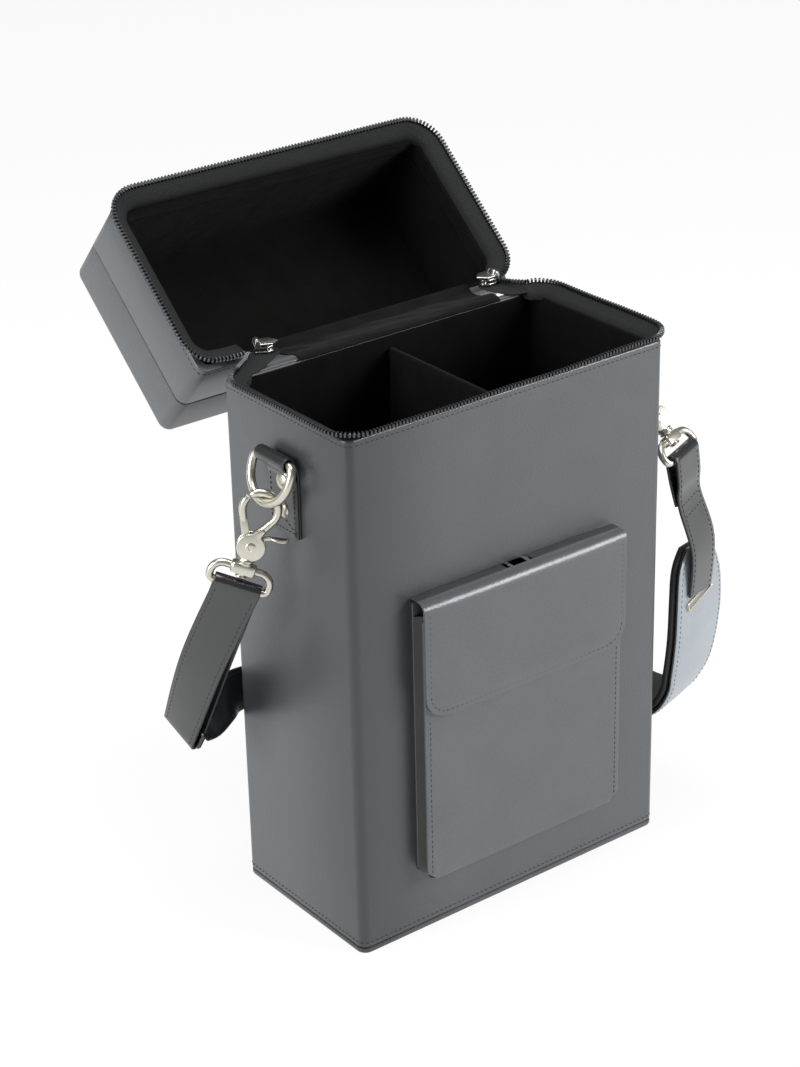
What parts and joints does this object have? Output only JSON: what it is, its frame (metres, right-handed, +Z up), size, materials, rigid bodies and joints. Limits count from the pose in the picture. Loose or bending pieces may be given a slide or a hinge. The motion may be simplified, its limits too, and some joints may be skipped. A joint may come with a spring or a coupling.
{
  "type": "leather wine carrier",
  "caption": "Upright leather carrier with a padded shoulder strap, front flap pocket and a zipped hinged lid over two divided cells.",
  "frame": {"origin": "centre of the case's flat underside, on the surface it stands on", "axes": "+X to the right seen from the pocket side, +Y towards the lid's hinge at the back, +Z up"},
  "size_m": [0.304, 0.2511, 0.3543],
  "materials": {
    "leather": "semi-gloss blue-black, fine grain",
    "board": "raw",
    "velvet": "black velvet",
    "zip_tape": "black woven twill",
    "zip_metal": "dark metal",
    "nickel": "pale satin nickel",
    "dark_leather": "black leather",
    "pad_leather": "satin grey-black leather",
    "black_slider": "gloss black",
    "snap_steel": "plain"
  },
  "bodies": {
    "case": {"base_cover": "leather", "base_board": "board", "case_front_board": "board", "case_back_board": "board", "case_left_board": "board", "case_right_board": "board", "case_leather": "leather", "case_lining": "velvet", "divider": "velvet", "case_zip_tape": "zip_tape", "case_zip_teeth": "zip_metal", "hinge_strip": "velvet", "zip_slider_left": "nickel", "zip_slider_right": "nickel", "pocket_back": "leather", "pocket_front": "leather", "pocket_gusset": "dark_leather", "pocket_snap": "snap_steel", "left_tab": "leather", "right_tab": "leather", "left_tab_rivets": "nickel", "right_tab_rivets": "nickel", "back_strap": "dark_leather"},
    "lid": {"lid_band": "leather", "lid_cap": "leather", "lid_front_board": "board", "lid_back_board": "board", "lid_left_board": "board", "lid_right_board": "board", "lid_top_board": "board", "lid_lining": "velvet", "lid_zip_tape": "zip_tape", "lid_zip_teeth": "zip_metal"},
    "flap": {"pocket_flap": "leather", "flap_snap": "snap_steel"},
    "pull_left": {"zip_pull_left": "nickel"},
    "pull_right": {"zip_pull_right": "nickel"},
    "left_ring_body": {"left_ring": "nickel"},
    "left_hook_body": {"left_hook": "nickel", "left_hook_rivet": "nickel"},
    "left_gate_body": {"left_gate": "nickel"},
    "left_eye_body": {"left_eye": "nickel"},
    "right_ring_body": {"right_ring": "nickel"},
    "right_hook_body": {"right_hook": "nickel", "right_hook_rivet": "nickel"},
    "right_gate_body": {"right_gate": "nickel"},
    "right_eye_body": {"right_eye": "nickel"},
    "left_strap_body": {"left_strap_loop": "dark_leather", "strap_slider": "black_slider"},
    "shoulder_strap_body": {"right_strap": "dark_leather", "pad_face": "pad_leather", "pad_cushion": "dark_leather", "pad_trims": "nickel"}
  },
  "joints": [
    {"name": "lid_hinge", "type": "hinge", "parent": "case", "child": "lid", "pos_m": [0, 0.0577, 0.2881], "axis": [1, 0, 0], "range_deg": [0, 138.6], "deforming": ["hinge_strip"]},
    {"name": "flap_hinge", "type": "hinge", "parent": "case", "child": "flap", "pos_m": [0, -0.0525, 0.195], "axis": [-1, 0, 0], "range_deg": [0, 90]},
    {"name": "pull_left_hinge", "type": "hinge", "parent": "case", "child": "pull_left", "pos_m": [-0.06872, 0.06617, 0.2938], "axis": [-0.3907, -0.9205, 0], "range_deg": [0, 110]},
    {"name": "pull_right_hinge", "type": "hinge", "parent": "case", "child": "pull_right", "pos_m": [0.0847, 0.06612, 0.2938], "axis": [0.0523, 0.9986, 0], "range_deg": [0, 110]},
    {"name": "left_ring_hinge", "type": "hinge", "parent": "case", "child": "left_ring_body", "pos_m": [-0.1062, -0.0005, 0.263], "axis": [0, 1, 0], "range_deg": [0, 50]},
    {"name": "left_hook_hinge", "type": "hinge", "parent": "left_ring_body", "child": "left_hook_body", "pos_m": [-0.11372, -0.0005, 0.24233], "axis": [0, 1, 0], "range_deg": [0, 15]},
    {"name": "left_gate_hinge", "type": "hinge", "parent": "left_hook_body", "child": "left_gate_body", "pos_m": [-0.12007, 0.00209, 0.22021], "axis": [-0.6087, -0.7891, 0.0822], "range_deg": [0, 10], "stiffness_Nm_per_rad": 0.08, "springref_deg": -20.05},
    {"name": "left_eye_swivel", "type": "hinge", "parent": "left_hook_body", "child": "left_eye_body", "pos_m": [-0.12418, 0.00402, 0.20825], "axis": [0.3216, -0.1508, 0.9348], "range_deg": [0, 20]},
    {"name": "right_ring_hinge", "type": "hinge", "parent": "case", "child": "right_ring_body", "pos_m": [0.1062, -0.0005, 0.263], "axis": [0, -1, 0], "range_deg": [0, 50]},
    {"name": "right_hook_hinge", "type": "hinge", "parent": "right_ring_body", "child": "right_hook_body", "pos_m": [0.11355, -0.0116, 0.24723], "axis": [-0.2988, -0.7071, 0.6409], "range_deg": [0, 35]},
    {"name": "right_gate_hinge", "type": "hinge", "parent": "right_hook_body", "child": "right_gate_body", "pos_m": [0.11868, -0.02631, 0.22917], "axis": [0.2773, 0.7819, -0.5583], "range_deg": [0, 12], "stiffness_Nm_per_rad": 0.08, "springref_deg": -20.05},
    {"name": "right_eye_swivel", "type": "hinge", "parent": "right_hook_body", "child": "right_eye_body", "pos_m": [0.12217, -0.03426, 0.21977], "axis": [0.2733, -0.6213, -0.7344], "range_deg": [0, 20]},
    {"name": "left_strap_swing", "type": "hinge", "parent": "left_eye_body", "child": "left_strap_body", "pos_m": [-0.12734, 0.0055, 0.19909], "axis": [0.7274, -0.5926, -0.3459], "range_deg": [0, 20], "deforming": ["back_strap"]},
    {"name": "shoulder_strap_swing", "type": "hinge", "parent": "right_eye_body", "child": "shoulder_strap_body", "pos_m": [0.12485, -0.04035, 0.21257], "axis": [-0.9427, -0.3248, -0.0759], "range_deg": [0, 25]}
  ]
}
